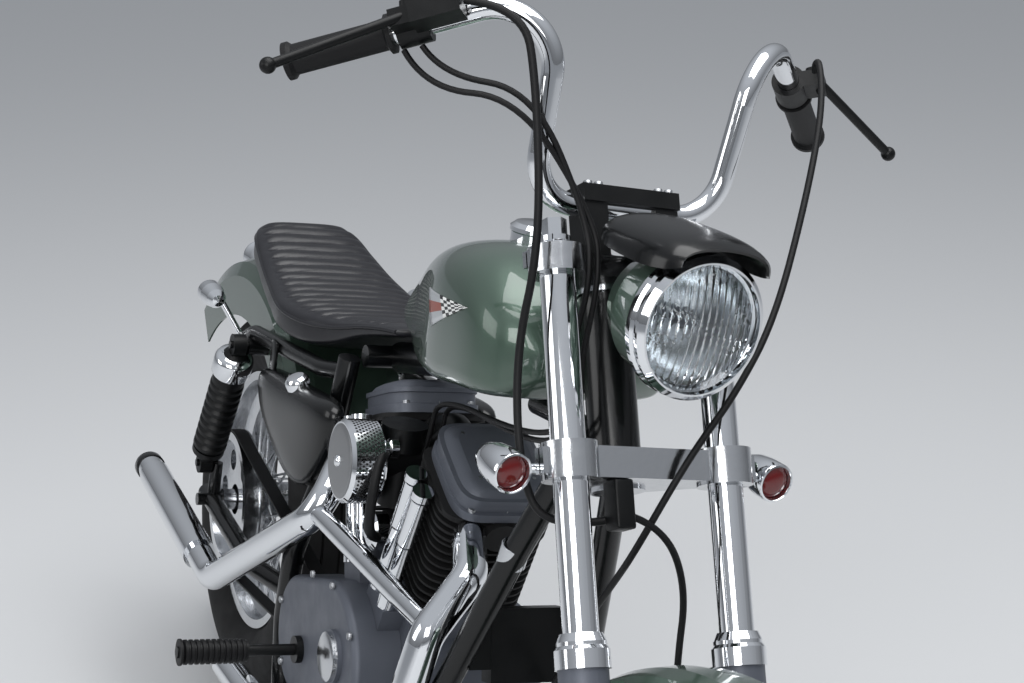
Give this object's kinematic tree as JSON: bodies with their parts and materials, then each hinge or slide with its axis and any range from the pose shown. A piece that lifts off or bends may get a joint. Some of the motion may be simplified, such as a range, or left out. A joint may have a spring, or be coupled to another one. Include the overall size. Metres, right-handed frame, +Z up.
{
  "type": "custom v-twin motorcycle",
  "caption": "Custom V-twin motorcycle with high bars, round headlight, small fuel tank and ribbed seat, leaning on its side stand.",
  "frame": {"origin": "on the ground under the middle of the parked outline", "axes": "+X forward along the wheelbase, +Y to the rider's left, +Z up"},
  "size_m": [2.1781, 0.8538, 1.321],
  "materials": {
    "chrome_parts": "polished chrome plate",
    "frame_black": "gloss black frame enamel",
    "tank_paint": "sage green metallic",
    "engine_grey": "silver-grey powder coat",
    "cylinder_black": "black cylinders",
    "cast_aluminium": "cast aluminium",
    "black_parts": "satin black",
    "tyre_rubber": "tyre",
    "rubber": "black rubber",
    "seat_vinyl": "black vinyl",
    "lamp_glass": "fluted glass"
  },
  "bodies": {
    "chassis": {"air_cleaner": "chrome_parts", "battery_cover": "black_parts", "breather": "chrome_parts", "cam_cover": "engine_grey", "carburetor": "black_parts", "crankcase": "engine_grey", "cylinder_front": "cylinder_black", "cylinder_rear": "cylinder_black", "drive_belt": "rubber", "exhaust_front": "chrome_parts", "exhaust_rear": "chrome_parts", "foot_controls_left": "black_parts", "foot_controls_right": "black_parts", "frame_cradle_left": "frame_black", "frame_cradle_right": "frame_black", "frame_neck": "frame_black", "frame_rear_left": "frame_black", "frame_rear_right": "frame_black", "fuel_cap": "chrome_parts", "fuel_tank": "tank_paint", "oil_tank": "black_parts", "primary_cover": "engine_grey", "pushrod_tubes": "chrome_parts", "rear_fender": "tank_paint", "rear_signals": "chrome_parts", "regulator": "black_parts", "rocker_box_front": "engine_grey", "rocker_box_rear": "engine_grey", "seat": "seat_vinyl", "shock_left": "black_parts", "shock_right": "black_parts", "swingarm": "frame_black", "taillight": "chrome_parts"},
    "steering": {"bar_clamp": "black_parts", "brake_lever_set": "black_parts", "clutch_lever_set": "black_parts", "dust_covers": "chrome_parts", "fork_sliders": "cast_aluminium", "fork_tubes": "chrome_parts", "front_caliper": "black_parts", "front_fender": "tank_paint", "front_signals": "chrome_parts", "grips": "rubber", "handlebar": "chrome_parts", "headlight_bucket": "tank_paint", "headlight_lens": "lamp_glass", "headlight_rim": "chrome_parts", "headlight_visor": "black_parts", "lower_clamp": "cast_aluminium", "upper_clamp": "cast_aluminium"},
    "front_wheel": {"front_tyre": "tyre_rubber", "front_wheel": "chrome_parts"},
    "rear_wheel": {"rear_tyre": "tyre_rubber", "rear_wheel": "chrome_parts"},
    "side_stand": {"side_stand": "black_parts"}
  },
  "joints": [
    {"name": "steering", "type": "hinge", "parent": "chassis", "child": "steering", "pos_m": [0.37267, -0.0329, 0.87867], "axis": [-0.4927, 0.1285, 0.8607], "range_deg": [-40.2, 23.8]},
    {"name": "front_wheel_spin", "type": "hinge", "parent": "steering", "child": "front_wheel", "pos_m": [0.7603, -0.10664, 0.3244], "axis": [-0.1243, 0.9685, -0.2158], "continuous": true},
    {"name": "rear_wheel_spin", "type": "hinge", "parent": "chassis", "child": "rear_wheel", "pos_m": [-0.76916, -0.11704, 0.31736], "axis": [-0.0002, 0.989, -0.1478], "continuous": true},
    {"name": "side_stand_fold", "type": "hinge", "parent": "chassis", "child": "side_stand", "pos_m": [-0.1194, 0.00885, 0.14392], "axis": [-0.1315, -0.8092, -0.5726], "range_deg": [-109.8, 0]}
  ]
}
